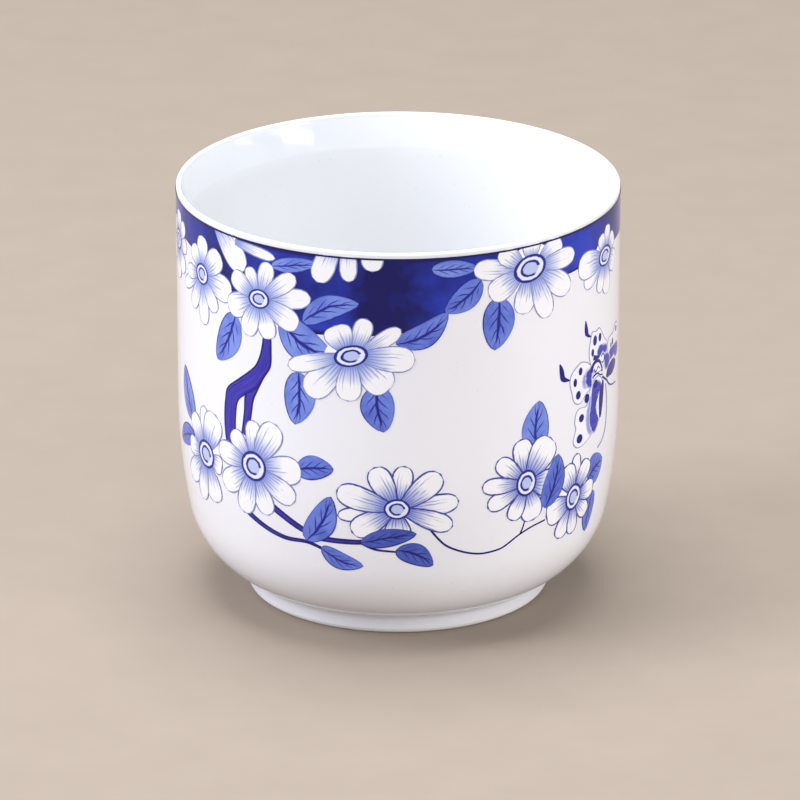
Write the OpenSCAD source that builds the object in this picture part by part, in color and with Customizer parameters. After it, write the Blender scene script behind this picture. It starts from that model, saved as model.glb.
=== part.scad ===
// Straight-sided porcelain teacup with a luted foot ring, three glaze coats and a blue transfer print.
// The origin is on the table under the middle of the cup. The main picture of the print faces -Y.

/* [Bowl] */
// Diameter of the mouth, over the glaze
mouth_d = 70; // [56:0.5:90]
// Height from the table to the top of the lip
height = 67.3; // [52:0.1:90]
// Thickness of the wall over both glazes
wall = 2; // [1.4:0.1:3]
// Thickness of the eased lip over both glazes, and so the diameter of its rounding
lip_w = 0.8; // [0.7:0.05:1.4]
// Height over which the inside of the wall leans out to the thin lip
ease_h = 5.5; // [3:0.1:10]
// Thickness of the floor over the inside glaze
floor_t = 3; // [2:0.1:6]
// Height where the straight wall starts to curve in
belly_z = 32; // [24:0.5:42]
// Radius of the slow curve below the straight wall
belly_r = 96; // [70:1:140]
// Angle that the slow curve turns before the heel starts
belly_turn = 10.6; // [6:0.1:14]

/* [Foot ring] */
// Diameter of the foot ring, over the glaze
foot_d = 48; // [38:0.5:58]
// Height of the foot ring
foot_h = 3; // [2:0.1:6]
// Width of the foot ring, over the glaze
foot_w = 3.4; // [2.6:0.1:6]
// Rounding of the two lower edges of the foot ring
foot_round = 0.8; // [0.4:0.1:1.2]

/* [Glaze] */
// Thickness of each glaze coat
glaze_t = 0.15; // [0.1:0.01:0.3]

/* [Print] */
// Thickness of the printed film
film_t = 0.1; // [0.08:0.01:0.2]
// Bare margin between the lip and the top of the print
rim_margin = 0.8; // [0.7:0.1:3]
// Thickness of the vine and the thin stems
stem_w = 0.7; // [0.4:0.1:1.5]
// Number of times the picture goes round the cup
repeats = 2; // [1:1:2]

/* [Hidden] */
$fn = 180;
porcelain = "#efeef0";
glaze = "#e9e8ee";
cobalt = "#2b2c96";
leaf_blue = "#6f83d6";
petal_white = "#dfe4f2";
ink = "#33358f";

mouth_r = mouth_d / 2;
lip_r = lip_w / 2;
lip_z = height - lip_r;
ease_z = lip_z - ease_h;
belly_x = mouth_r - belly_r;
floor_z = foot_h + floor_t;
foot_r = foot_d / 2;
foot_bore = foot_r - foot_w;
print_top = height - rim_margin;

// Height where the slow curve gives way to the heel, at a depth g below the outer surface
function turn_z(g) = belly_z - (belly_r - g) * sin(belly_turn);

// Heel arc: tangent to the slow curve and running down to the edge of the foot ring
heel_dx = foot_r - belly_x - belly_r * cos(belly_turn);
heel_dz = foot_h - turn_z(0);
heel_r = -(heel_dx ^ 2 + heel_dz ^ 2) / (2 * (heel_dx * cos(belly_turn) - heel_dz * sin(belly_turn)));
heel_x = belly_x + (belly_r - heel_r) * cos(belly_turn);
heel_z = belly_z - (belly_r - heel_r) * sin(belly_turn);

// Inner heel arc: tangent to the inside of the wall and to the floor
inner_r = (turn_z(wall) - floor_z) / (1 - sin(belly_turn));
inner_x = belly_x + (belly_r - wall - inner_r) * cos(belly_turn);
inner_z = floor_z + inner_r;

// The picture is laid out in degrees round the cup and in mm above the table, for a cup this tall
art_height = 67.3;
art_z = height / art_height;

// Each blossom: middle angle, middle height, eye width, eye height, petal tips turning anticlockwise
upper_flowers = [
    [-79, 60, 4, 3.4, [[-78, 65], [-85, 62.5], [-86, 57], [-79, 53.5], [-72.5, 55.5], [-70.5, 60], [-72, 63.5]]],
    [-60.6, 57.8, 3.9, 3.5, [[-60.3, 64.2], [-66, 61.8], [-69.6, 56.8], [-72, 54], [-66.1, 51.3],
        [-59.5, 49.5], [-53.8, 52.6], [-48.6, 56.8], [-51.7, 62.4]]],
    [-37.9, 57.4, 4.2, 3.2, [[-34.7, 63.8], [-41.3, 62.3], [-46.6, 60.3], [-48.2, 54.4], [-42.3, 50.9],
        [-34.5, 51.1], [-26, 54.2], [-22.4, 59.2], [-26.8, 62.4]]],
    [-12, 50.2, 5.7, 3.6, [[-7.7, 56.5], [-15.6, 55.4], [-29.2, 47.5], [-24.3, 43.4], [-12.8, 43],
        [-2.1, 45.4], [4.2, 50], [0.5, 55.1]]],
    [35.5, 62.4, 6.2, 4.4, [[46, 65.9], [36, 66.2], [26.5, 66.1], [19.2, 64.1], [23.6, 59.3], [33.3, 55.4],
        [41.7, 53.9], [49.4, 57.2], [51.3, 62.9]]],
    [67.1, 59.6, 5, 3.4, [[69.1, 64.5], [64.2, 63.5], [53.4, 60], [55.6, 56.5], [63.4, 54], [68.7, 53],
        [75, 57], [74, 62]]],
];
lower_flowers = [
    [-59.7, 27.9, 5.5, 5.2, [[-60.5, 36], [-66.9, 33.6], [-69.5, 28], [-70.4, 22], [-63.6, 19.5],
        [-55.8, 20.3], [-54.4, 27], [-54.6, 35.5]]],
    [-40.3, 29.6, 5.3, 5.3, [[-40.1, 37.1], [-47.6, 34.3], [-52.8, 30.5], [-51.7, 24.3], [-44.4, 20.8],
        [-35.8, 21.6], [-27.4, 25], [-25.3, 30.3], [-32.5, 37.3]]],
    [-0.3, 25.3, 4.2, 3.5, [[1.7, 32.6], [-6.2, 32.3], [-16, 28], [-15.9, 23.7], [-12.2, 21], [0, 20],
        [14.5, 22.2], [15.5, 25.5], [11, 30.8]]],
    [34.7, 27.4, 4.3, 4.9, [[33.1, 34.9], [26, 32], [21.8, 28], [23.5, 24.3], [30.8, 21.3], [38, 20.5],
        [42.6, 24.5], [42.7, 33.9]]],
    [52.5, 21.9, 4.3, 4.9, [[53.2, 29.4], [48.2, 27.9], [43.6, 20.6], [48, 15.5], [54, 15.3], [60.5, 17.8],
        [62.8, 22], [58.9, 27.4]]],
];

// Each leaf: base angle, base height, tip angle, tip height, width
upper_leaf_list = [
    [-46, 53.8, -53.4, 45.4, 5],
    [-32, 54.5, -17.3, 50.5, 5],
    [-24.7, 55.1, -10.1, 59, 4],
    [-26.5, 46.2, -26.9, 38.1, 5.5],
    [-6, 45.3, -3.4, 38.2, 5.4],
    [0, 54, 12.4, 57, 3.6],
    [21, 62, 12, 57.6, 4],
    [8.9, 64, 19.1, 64.2, 2.6],
    [26, 58.5, 25.3, 50.5, 5.4],
];
lower_leaf_list = [
    [38, 32.3, 38.6, 40.3, 5.2],
    [60.3, 24, 67, 25.5, 5],
    [62.8, 20.5, 61.8, 14.4, 3.6],
    [-66, 32, -73, 40, 5],
    [-66, 29.5, -78, 27.2, 4],
    [-27.5, 30.2, -16.9, 31.4, 4],
    [-24.5, 18.8, -17.7, 26.5, 4.5],
    [-20.4, 17.6, -9.7, 15.3, 4],
    [-2, 18.6, 9, 15.5, 3.6],
];
front_leaf_list = [
    [41.7, 22.3, 45.4, 30.3, 4.6],
    [-9.5, 19.5, 4.4, 20.8, 3.2],
];

// Petals of blossoms that the top of the print cuts off, in the same order
rim_petal_list = [
    [-57, 67, -45, 60.8, 5.4],
    [-45, 66.4, -32.5, 64.2, 2.6],
    [-16, 68, -20.9, 61.9, 3.8],
    [-12.6, 68, -12.6, 62.4, 2.8],
    [-6.5, 69, -6.5, 64.4, 3.6],
];

// Outline of the tree trunk, up its left side and down its right side
trunk = [[-44.5, 35], [-50.1, 33], [-50.7, 38], [-49.1, 41.1], [-44.8, 43.3], [-39.9, 45.8], [-37.8, 48.3],
    [-36.6, 52], [-34.1, 52], [-34.2, 46.8], [-35, 45.5], [-37.8, 44], [-39.5, 41.8], [-40.5, 40.5],
    [-41.3, 37.5], [-42.5, 34]];
lower_branch = [[-43, 21.5], [-41.9, 20.8], [-36.6, 19.3], [-30.9, 18.3], [-24.7, 18.4], [-20, 17.5]];
flower_branch = [[-34, 23.2], [-28.8, 21.4], [-25, 20.3], [-20.6, 19.4], [-12.4, 19.4], [-7, 19.3],
    [-2, 18.4]];
vine_line = [[8.6, 21.4], [10.9, 19.5], [13, 18.5], [17.1, 17.3], [21.2, 16.6], [24.5, 16.5], [28.2, 16.8],
    [33.5, 18.5], [37.6, 19.4], [42.1, 19.9], [45.5, 20.2]];

// Outlines of the butterfly: three left wings, body, right wing, right body and the two feelers
butterfly_outlines = [
    [[50, 43], [52, 43.7], [55, 44.3], [57.7, 43.7], [60.5, 43], [61.5, 40], [59.6, 38.3], [58.8, 37],
        [56.5, 36.8], [54.5, 37.5], [52.2, 38.4], [50.9, 40], [49.7, 42]],
    [[59.8, 48.4], [58.6, 46.5], [58, 44.5], [58.5, 42], [62, 39.2], [66, 40], [69.6, 39.2], [70.6, 42],
        [69.5, 45.5], [67.6, 46], [66, 47.2], [64, 48.4], [62, 48.1]],
    [[52.5, 36], [51.9, 33.5], [51.5, 31], [54, 30], [58, 30.6], [62, 31.3], [63.6, 33], [63.2, 36],
        [66, 39], [65, 40.5], [60, 40.5], [58, 36.6], [54, 36.6]],
    [[64.2, 33.4], [65.6, 33.5], [66.5, 35.5], [66.8, 38], [66, 39.2], [64.2, 37]],
    [[69.5, 42], [70.5, 45.6], [74, 46], [79, 46.4], [80, 44.5], [81, 41], [76, 40.2], [74.5, 38.9],
        [72, 38.6], [69, 39.2]],
    [[49.9, 42.2], [47, 42.2], [46, 43], [45.8, 45.4], [47.5, 44.3], [47.9, 42.9], [50, 42.6]],
    [[59.4, 47.6], [57.3, 47.9], [56.2, 48.8], [56.6, 50.7], [57.8, 49], [57.9, 48.3], [59.5, 48]],
];

// Lower edge of the cloudy band, in two halves of the picture
border_left = [[-91, 60.4], [-75, 61.5], [-68, 61], [-60, 59], [-50, 56.5], [-42, 57], [-24, 56],
    [-20, 55], [-10, 55], [0.5, 55]];
border_right = [[-0.5, 55], [4, 55.5], [11.4, 58], [12, 59.7], [15, 62.5], [19, 63.4], [24, 62],
    [46, 60], [53, 60], [60, 60.8], [75, 60.6], [91, 60.4]];

// ---- sections through the cup, from the axis outwards ----

// Everything between two heights
module band(z0, z1) {
    translate([0, z0]) square([mouth_r * 2, z1 - z0]);
}

// The whole cup under its outer surface, at a depth g, up to the middle of the lip
module under_outside(g) {
    intersection() {
        band(foot_h, lip_z);
        square([mouth_r - g, height]);
        union() {
            translate([belly_x, belly_z]) circle(belly_r - g);
            band(belly_z, height);
        }
        union() {
            translate([heel_x, heel_z]) circle(heel_r - g);
            band(turn_z(g), height);
            square([max(heel_x, lip_r), height]);
        }
    }
}

// The hollow inside the cup, grown by g into the clay
module hollow(g) {
    intersection() {
        band(floor_z - g, lip_z);
        polygon([
            [0, 0],
            [mouth_r - wall + g, 0],
            [mouth_r - wall + g, ease_z],
            [mouth_r - lip_w + g, lip_z],
            [0, lip_z],
        ]);
        union() {
            translate([belly_x, belly_z]) circle(belly_r - wall + g);
            band(belly_z, height);
        }
        union() {
            translate([inner_x, inner_z]) circle(inner_r + g);
            band(turn_z(wall - g), height);
            square([inner_x, height]);
        }
    }
}

// Upper half of the rounded lip
module lip(g) {
    intersection() {
        translate([mouth_r - lip_r, lip_z]) circle(lip_r - g);
        band(lip_z, height);
    }
}

// One half of the glaze over the lip: the outer one or the inner one
module lip_glaze(from_r, to_r) {
    intersection() {
        difference() {
            lip(0);
            lip(glaze_t);
        }
        translate([from_r, 0]) square([to_r - from_r, height]);
    }
}

// ---- clay ----

module bowl() {
    color(porcelain)
        rotate_extrude() {
            difference() {
                under_outside(glaze_t);
                hollow(glaze_t);
            }
            lip(glaze_t);
        }
}

module foot_ring() {
    inner = foot_bore + glaze_t;
    outer = foot_r - glaze_t;
    color(porcelain)
        rotate_extrude() {
            translate([inner, foot_round]) square([outer - inner, foot_h - foot_round]);
            translate([inner + foot_round, 0]) square([outer - inner - 2 * foot_round, foot_round]);
            for (x = [inner + foot_round, outer - foot_round])
                intersection() {
                    translate([x, foot_round]) circle(foot_round);
                    band(0, foot_round);
                }
        }
}

// ---- glaze coats ----

module inside_glaze() {
    color(glaze)
        rotate_extrude() {
            difference() {
                hollow(glaze_t);
                hollow(0);
            }
            lip_glaze(mouth_r - lip_w, mouth_r - lip_r);
        }
}

module outside_glaze() {
    color(glaze)
        rotate_extrude() {
            difference() {
                under_outside(0);
                under_outside(glaze_t);
            }
            lip_glaze(mouth_r - lip_r, mouth_r);
            translate([foot_r - glaze_t, foot_round]) square([glaze_t, foot_h - foot_round]);
        }
}

module base_glaze() {
    color(glaze)
        rotate_extrude() {
            translate([0, foot_h - glaze_t]) square([foot_bore + glaze_t, glaze_t]);
            translate([foot_bore, foot_round]) square([glaze_t, foot_h - foot_round]);
        }
}

// ---- printed film ----

// A point of the picture, seen flat from outside the angle it is centred on
function flat(p, mid) = [mouth_r * sin(p[0] - mid), p[1] * art_z];
function to_flat(points, mid) = [for (p = points) flat(p, mid)];

// Outline of a blossom: a notch and a rounded tip for each petal
function unit(v) = v / norm(v);
function petals(f) = [
    for (i = [0:len(f[4]) - 1])
        let (
            c = flat(f, f[0]),
            a = flat(f[4][i], f[0]) - c,
            b = flat(f[4][(i + 1) % len(f[4])], f[0]) - c,
            side = [-a[1], a[0]]
        )
        each [c + 0.93 * a - 0.13 * side, c + a, c + 0.93 * a + 0.13 * side,
            c + 0.6 * min(norm(a), norm(b)) * unit(unit(a) + unit(b))]
];

// Outline of an eye: a flat-lying oval
function oval(f) = [
    for (i = [0:15])
        flat(f, f[0]) + [f[2] / 2 * cos(i * 22.5), f[3] / 2 * sin(i * 22.5)]
];

// Half widths along a leaf, which is pointed, and along a petal, which is round at its tip
leaf_form = [[0, 0.06], [0.15, 0.33], [0.38, 0.5], [0.62, 0.42], [0.84, 0.2], [1, 0]];
petal_form = [[0, 0.2], [0.3, 0.4], [0.6, 0.5], [0.84, 0.4], [0.96, 0.2], [1, 0]];

// Outline of a leaf or a single petal
function leaf_outline(l, form = leaf_form) =
    let (
        mid = l[0],
        a = flat([l[0], l[1]], mid),
        b = flat([l[2], l[3]], mid),
        along = b - a,
        across = unit([-along[1], along[0]]) * l[4]
    )
    concat(
        [for (s = form) a + s[0] * along - s[1] * across],
        [for (i = [len(form) - 2:-1:0]) a + form[i][0] * along + form[i][1] * across]
    );

// Outline of a drawn line of an even width
function line_side(p, i) = unit(p[min(i + 1, len(p) - 1)] - p[max(i - 1, 0)]);
function line_outline(points, mid, w) =
    let (p = to_flat(points, mid), last = len(points) - 1)
    concat(
        [for (i = [0:last]) let (t = line_side(p, i)) p[i] + [t[1], -t[0]] * w / 2],
        [for (i = [last:-1:0]) let (t = line_side(p, i)) p[i] - [t[1], -t[0]] * w / 2]
    );

// A flat outline pushed out through the wall at its own angle, in every repeat of the picture
module through(mid, points) {
    for (k = [0:repeats - 1])
        rotate([0, 0, mid + k * 360 / repeats])
            translate([0, -mouth_r * 0.7, 0])
                rotate([90, 0, 0])
                    linear_extrude(mouth_r * 0.4) polygon(points);
}

module flower_cutter(list) {
    for (f = list) through(f[0], petals(f));
}

module eye_cutter(list) {
    for (f = list) through(f[0], oval(f));
}

module leaf_cutter(list) {
    for (l = list) through(l[0], leaf_outline(l));
}

module rim_petal_cutter() {
    for (l = rim_petal_list) through(l[0], leaf_outline(l, petal_form));
}

// The thin coat on the glaze that the picture is cut from
module film(z0, z1) {
    rotate_extrude()
        intersection() {
            difference() {
                under_outside(-film_t);
                under_outside(0);
            }
            band(z0, z1);
        }
}

module rim_band() {
    low = 54 * art_z;
    color(cobalt)
        difference() {
            film(low, print_top);
            through(-45, concat(to_flat(border_left, -45), [[mouth_r, 0], [-mouth_r, 0]]));
            through(45, concat(to_flat(border_right, 45), [[mouth_r, 0], [-mouth_r, 0]]));
            flower_cutter(upper_flowers);
            leaf_cutter(upper_leaf_list);
            rim_petal_cutter();
        }
}

module upper_blossoms() {
    color(petal_white)
        difference() {
            intersection() {
                film(38 * art_z, print_top);
                union() {
                    flower_cutter(upper_flowers);
                    rim_petal_cutter();
                }
            }
            eye_cutter(upper_flowers);
        }
}

module lower_blossoms() {
    color(petal_white)
        difference() {
            intersection() {
                film(foot_h + heel_r / 3, 45 * art_z);
                flower_cutter(lower_flowers);
            }
            eye_cutter(lower_flowers);
            leaf_cutter(front_leaf_list);
        }
}

module blossom_eyes() {
    color(ink)
        intersection() {
            film(foot_h + heel_r / 3, print_top);
            union() {
                eye_cutter(upper_flowers);
                eye_cutter(lower_flowers);
            }
        }
}

module upper_leaves() {
    color(leaf_blue)
        difference() {
            intersection() {
                film(30 * art_z, print_top);
                leaf_cutter(upper_leaf_list);
            }
            flower_cutter(upper_flowers);
            rim_petal_cutter();
        }
}

module lower_leaves() {
    color(leaf_blue)
        intersection() {
            film(foot_h + heel_r / 3, 45 * art_z);
            union() {
                difference() {
                    leaf_cutter(lower_leaf_list);
                    flower_cutter(lower_flowers);
                }
                leaf_cutter(front_leaf_list);
            }
        }
}

module tree_branches() {
    color(ink)
        difference() {
            intersection() {
                film(foot_h + heel_r / 3, 56 * art_z);
                union() {
                    through(-42, to_flat(trunk, -42));
                    through(-32, line_outline(lower_branch, -32, stem_w * 1.4));
                    through(-18, line_outline(flower_branch, -18, stem_w * 1.4));
                }
            }
            flower_cutter(upper_flowers);
            flower_cutter(lower_flowers);
            leaf_cutter(upper_leaf_list);
            leaf_cutter(lower_leaf_list);
            leaf_cutter(front_leaf_list);
        }
}

module vine() {
    color(ink)
        difference() {
            intersection() {
                film(foot_h + heel_r / 3, 30 * art_z);
                through(26, line_outline(vine_line, 26, stem_w));
            }
            flower_cutter(lower_flowers);
            leaf_cutter(front_leaf_list);
        }
}

module butterflies() {
    color(leaf_blue)
        difference() {
            intersection() {
                film(25 * art_z, 53 * art_z);
                union() {
                    for (outline = butterfly_outlines) through(63, to_flat(outline, 63));
                }
            }
            flower_cutter(upper_flowers);
            flower_cutter(lower_flowers);
        }
}

bowl();
foot_ring();
inside_glaze();
outside_glaze();
base_glaze();
rim_band();
upper_blossoms();
lower_blossoms();
blossom_eyes();
upper_leaves();
lower_leaves();
tree_branches();
vine();
butterflies();
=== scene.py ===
import math
import bpy
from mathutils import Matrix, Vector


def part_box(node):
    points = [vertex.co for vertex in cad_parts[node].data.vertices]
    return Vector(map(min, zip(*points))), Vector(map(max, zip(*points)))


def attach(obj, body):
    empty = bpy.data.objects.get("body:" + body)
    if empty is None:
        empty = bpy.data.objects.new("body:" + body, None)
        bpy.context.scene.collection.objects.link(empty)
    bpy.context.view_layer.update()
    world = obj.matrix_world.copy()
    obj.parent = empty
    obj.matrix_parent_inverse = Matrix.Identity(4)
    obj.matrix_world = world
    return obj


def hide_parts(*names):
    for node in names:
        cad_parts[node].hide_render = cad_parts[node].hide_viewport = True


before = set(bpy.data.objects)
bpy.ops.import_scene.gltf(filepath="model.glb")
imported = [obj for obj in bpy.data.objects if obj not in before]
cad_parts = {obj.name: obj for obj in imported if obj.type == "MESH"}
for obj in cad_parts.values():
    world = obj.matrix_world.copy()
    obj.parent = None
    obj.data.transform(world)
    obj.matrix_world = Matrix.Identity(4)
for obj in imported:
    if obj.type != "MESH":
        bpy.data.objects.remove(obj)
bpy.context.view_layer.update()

# ---------------------------------------------------------------- bowl
# The thrown and turned porcelain body. It is fired white clay, glassy right through, and the
# glaze coats below cover all of it.
MM = 0.001
crease = math.radians(35)


def paint(code):
    """An sRGB hex colour as the linear red, green, blue and alpha that a shader takes."""
    parts = [int(code[i:i + 2], 16) / 255 for i in (0, 2, 4)]
    return [c / 12.92 if c <= 0.04045 else ((c + 0.055) / 1.055) ** 2.4 for c in parts] + [1.0]


def add(tree, kind, settings=None, **inputs):
    """Adds one node; inputs are named _0, _1 and so on by place, or by the socket's name."""
    made = tree.nodes.new("ShaderNode" + kind)
    for key, value in (settings or {}).items():
        setattr(made, key, value)
    for key, value in inputs.items():
        socket = made.inputs[int(key[1:]) if key[0] == "_" else key.replace("_", " ")]
        if isinstance(value, bpy.types.NodeSocket):
            tree.links.new(value, socket)
        else:
            socket.default_value = value
    return made


def finish(name):
    """A new material with its own principled shader."""
    made = bpy.data.materials.new(name)
    made.use_nodes = True
    tree = made.node_tree
    return made, tree, tree.nodes["Principled BSDF"]


# Bisque porcelain: white, fine grained and matt, with a sandy bump of about 0.3 mm grains.
bisque, tree, shader = finish("bisque_porcelain")
place = add(tree, "TexCoord").outputs["Object"]
grain = add(tree, "TexNoise", Vector=place, Scale=3300.0, Detail=2.0).outputs[0]
tone = add(tree, "Mix", {"data_type": "RGBA"}, _0=grain, _6=paint("dedbd8"), _7=paint("f1efee"))
tree.links.new(tone.outputs[2], shader.inputs["Base Color"])
bump = add(tree, "Bump", Strength=0.35, Distance=0.00006, Height=grain)
tree.links.new(bump.outputs["Normal"], shader.inputs["Normal"])
shader.inputs["Roughness"].default_value = 0.62
shader.inputs["IOR"].default_value = 1.5

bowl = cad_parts["bowl"]
bowl.data.materials.clear()
bowl.data.materials.append(bisque)

# ---------------------------------------------------------------- foot ring
# A low ring of the same clay, luted under the bowl. Its contact face is wiped bare of glaze
# before firing, and both lower edges are sponged round.
mouth_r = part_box("outside_glaze")[1][0] / MM
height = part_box("outside_glaze")[1][2] / MM
foot_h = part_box("foot_ring")[1][2] / MM
glaze_t = 0.15
foot_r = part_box("foot_ring")[1][0] / MM + glaze_t
foot_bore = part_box("base_glaze")[1][0] / MM - glaze_t
foot_round = 0.8


def arc(x, z, r, start, stop, steps):
    """Points on an arc, in degrees above the horizontal."""
    turns = [math.radians(start + (stop - start) * i / steps) for i in range(steps + 1)]
    return [(x + r * math.cos(t), z + r * math.sin(t)) for t in turns]


def clean_slate():
    if bpy.context.object and bpy.context.object.mode != "OBJECT":
        bpy.ops.object.mode_set(mode="OBJECT")
    bpy.ops.object.select_all(action="DESELECT")


turn_steps = 320
weld = 0.004 * MM


def turn(name, section, material):
    """Turns a closed section round the cup's axis into a solid, as on a wheel."""
    clean_slate()
    bpy.ops.mesh.primitive_circle_add(vertices=len(section), radius=0.01)
    made = bpy.context.object
    made.name = name
    for vertex, (r, z) in zip(made.data.vertices, section):
        vertex.co = (r * MM, 0, z * MM)
    made.location = (0, 0, 0)
    bpy.ops.object.mode_set(mode="EDIT")
    bpy.ops.mesh.select_all(action="SELECT")
    bpy.ops.mesh.spin(steps=turn_steps, angle=math.tau, center=(0, 0, 0), axis=(0, 0, 1))
    bpy.ops.mesh.select_all(action="SELECT")
    bpy.ops.mesh.remove_doubles(threshold=weld)
    bpy.ops.mesh.delete_loose()
    bpy.ops.mesh.select_all(action="SELECT")
    bpy.ops.mesh.normals_make_consistent(inside=False)
    bpy.ops.object.mode_set(mode="OBJECT")
    bpy.ops.object.shade_smooth_by_angle(angle=crease)
    made.data.materials.append(material)
    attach(made, "root")
    return made


ring_in = foot_bore + glaze_t
ring_out = foot_r - glaze_t
ring_section = (
    [(ring_in, foot_h), (ring_in, foot_round)]
    + arc(ring_in + foot_round, foot_round, foot_round, 180, 270, 8)[1:]
    + arc(ring_out - foot_round, foot_round, foot_round, 270, 360, 8)
    + [(ring_out, foot_h)]
)
foot = turn("foot_ring_clay", ring_section, bisque)
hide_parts("foot_ring")

# ---------------------------------------------------------------- outside glaze
# A clear feldspar glaze over white porcelain, dipped and fired at high heat. It is glass-smooth
# with a faint long ripple and a few dark specks. Over the lip and the top of the wall its colour
# is painted a little greyer: painted shade against the strong light from above.
glaze_ior = 1.52
# heights in metres where the painted shade over the lip begins and where it is full
lip_shade_from = 0.0606
lip_shade_to = 0.0628


def glaze_finish(name, low, high):
    made, tree, shader = finish(name)
    place = add(tree, "TexCoord").outputs["Object"]
    cloud = add(tree, "TexNoise", Vector=place, Scale=45.0, Detail=2.0).outputs[0]
    speck = add(tree, "TexNoise", Vector=place, Scale=1500.0, Detail=1.0).outputs[0]
    tint = add(tree, "Mix", {"data_type": "RGBA"}, _0=cloud, _6=paint(low),
               _7=paint(high)).outputs[2]
    dots = add(tree, "MapRange", Value=speck, From_Min=0.74, From_Max=0.78, To_Max=0.2).outputs[0]
    fleck = add(tree, "Mix", {"data_type": "RGBA"}, _0=dots, _6=tint, _7=paint("b9b6bd")).outputs[2]
    # painted shade: above about 61 mm the glaze colour is greyed, as the lip and eased wall face
    # the top light
    rise = add(tree, "SeparateXYZ", Vector=place).outputs[2]
    lip_shade = add(tree, "MapRange", {"interpolation_type": "SMOOTHSTEP"}, Value=rise,
               From_Min=lip_shade_from, From_Max=lip_shade_to).outputs[0]
    shaded_lip_tone = add(tree, "Mix", {"data_type": "RGBA"}, _0=lip_shade, _6=fleck, _7=paint("e3e5e9")).outputs[2]
    tree.links.new(shaded_lip_tone, shader.inputs["Base Color"])
    ripple = add(tree, "TexNoise", Vector=place, Scale=120.0, Detail=1.0).outputs[0]
    bump = add(tree, "Bump", Strength=0.12, Distance=0.0002, Height=ripple)
    tree.links.new(bump.outputs["Normal"], shader.inputs["Normal"])
    shader.inputs["Roughness"].default_value = 0.07
    shader.inputs["IOR"].default_value = glaze_ior
    return made


glazed = glaze_finish("clear_glaze_on_porcelain", "e5e7ef", "ebecf3")

wall = 2.0
lip_w = 0.8
lip_r = lip_w / 2
lip_z = height - lip_r
belly_z = 32.0
belly_r = 96.0
belly_turn = 10.6
lean_x = math.cos(math.radians(belly_turn))
lean_z = math.sin(math.radians(belly_turn))
belly_x = mouth_r - belly_r
heel_dx = foot_r - belly_x - belly_r * lean_x
heel_dz = foot_h - belly_z + belly_r * lean_z
heel_r = -(heel_dx ** 2 + heel_dz ** 2) / (2 * (heel_dx * lean_x - heel_dz * lean_z))
heel_x = belly_x + (belly_r - heel_r) * lean_x
heel_z = belly_z - (belly_r - heel_r) * lean_z
groove_turn = 64.5


def outer_side(depth):
    """The outside of the cup from the foot's groove up to the top of the wall."""
    return (
        arc(heel_x, heel_z, heel_r - depth, -groove_turn, -belly_turn, 16)
        + arc(belly_x, belly_z, belly_r - depth, -belly_turn, 0, 6)[1:]
        + [(mouth_r - depth, z) for z in (40, 48, 56, 62, lip_z)]
    )


outside_section = (
    [(foot_r, foot_round), (foot_r, 1.5), (foot_r, 2.2), (foot_r + 0.04, 2.55), (foot_r + 0.2, 2.9),
     (foot_r + 0.5, 3.2)]
    + outer_side(0)
    + arc(mouth_r - lip_r, lip_z, lip_r, 0, 90, 10)[1:]
    + arc(mouth_r - lip_r, lip_z, lip_r - glaze_t, 90, 0, 8)
    + outer_side(glaze_t)[::-1][1:]
    + [(foot_r - glaze_t, foot_h), (foot_r - glaze_t, foot_round)]
)
outside = turn("outside_glaze_coat", outside_section, glazed)
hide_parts("outside_glaze")

# ---------------------------------------------------------------- inside glaze
# The same clear coat, poured in and out. It runs over the inner half of the lip, which the potter
# thinned by easing the last of the wall outwards, down the wall and round a soft heel to the floor.
inner_turn_z = belly_z - (belly_r - wall) * lean_z
floor_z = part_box("inside_glaze")[0][2] / MM + glaze_t
inner_r = (inner_turn_z - floor_z) / (1 - lean_z)
inner_x = belly_x + (belly_r - wall - inner_r) * lean_x
inner_z = floor_z + inner_r


ease_h = 5.3
ease_power = 1.15
ease_steps = 14


def eased_lip(depth):
    """The inside of the wall where it leans out to the thin lip, from the lip down."""
    climbs = [i / ease_steps for i in range(ease_steps, -1, -1)]
    return [(mouth_r - wall + (wall - lip_w) * c ** ease_power + depth, lip_z - ease_h + ease_h * c)
            for c in climbs]


def inner_side(depth):
    """The inside of the cup from the top of the wall down to the middle of the floor."""
    return (
        eased_lip(depth)
        + [(mouth_r - wall + depth, z) for z in (60.4, 58, 54, 48, 40)]
        + arc(belly_x, belly_z, belly_r - wall + depth, 0, -belly_turn, 6)
        + arc(inner_x, inner_z, inner_r + depth, -belly_turn, -90, 16)[1:]
        + [(inner_x * 0.66, floor_z - depth), (inner_x * 0.33, floor_z - depth),
           (0, floor_z - depth)]
    )


inside_section = (
    arc(mouth_r - lip_r, lip_z, lip_r, 90, 180, 10)[:-1]
    + inner_side(0)
    + inner_side(glaze_t)[::-1]
    + arc(mouth_r - lip_r, lip_z, lip_r - glaze_t, 180, 90, 8)[1:]
)
# The inner coat is the same glaze, painted a little less blue than the outer coat to offset
# the blue cast of the light in the bowl: a toned copy of one material, set for the light.
inner_glaze_light_toned = glaze_finish("clear_glaze_poured_inside_light_toned", "e6e7e9", "ebecee")
inside = turn("inside_glaze_coat", inside_section, inner_glaze_light_toned)
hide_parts("inside_glaze")

# ---------------------------------------------------------------- base glaze
# The recess inside the foot ring takes the same coat, down to the ring's rounded edge.
base_section = [
    (0, foot_h - glaze_t), (7, foot_h - glaze_t), (14, foot_h - glaze_t),
    (foot_bore - 0.6, foot_h - glaze_t), (foot_bore - 0.18, foot_h - glaze_t - 0.18),
    (foot_bore, foot_h - glaze_t - 0.6), (foot_bore, foot_round), (foot_bore + glaze_t, foot_round),
    (foot_bore + glaze_t, foot_h), (14, foot_h), (7, foot_h), (0, foot_h),
]
base = turn("base_glaze_coat", base_section, glazed)
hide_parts("base_glaze")

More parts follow.
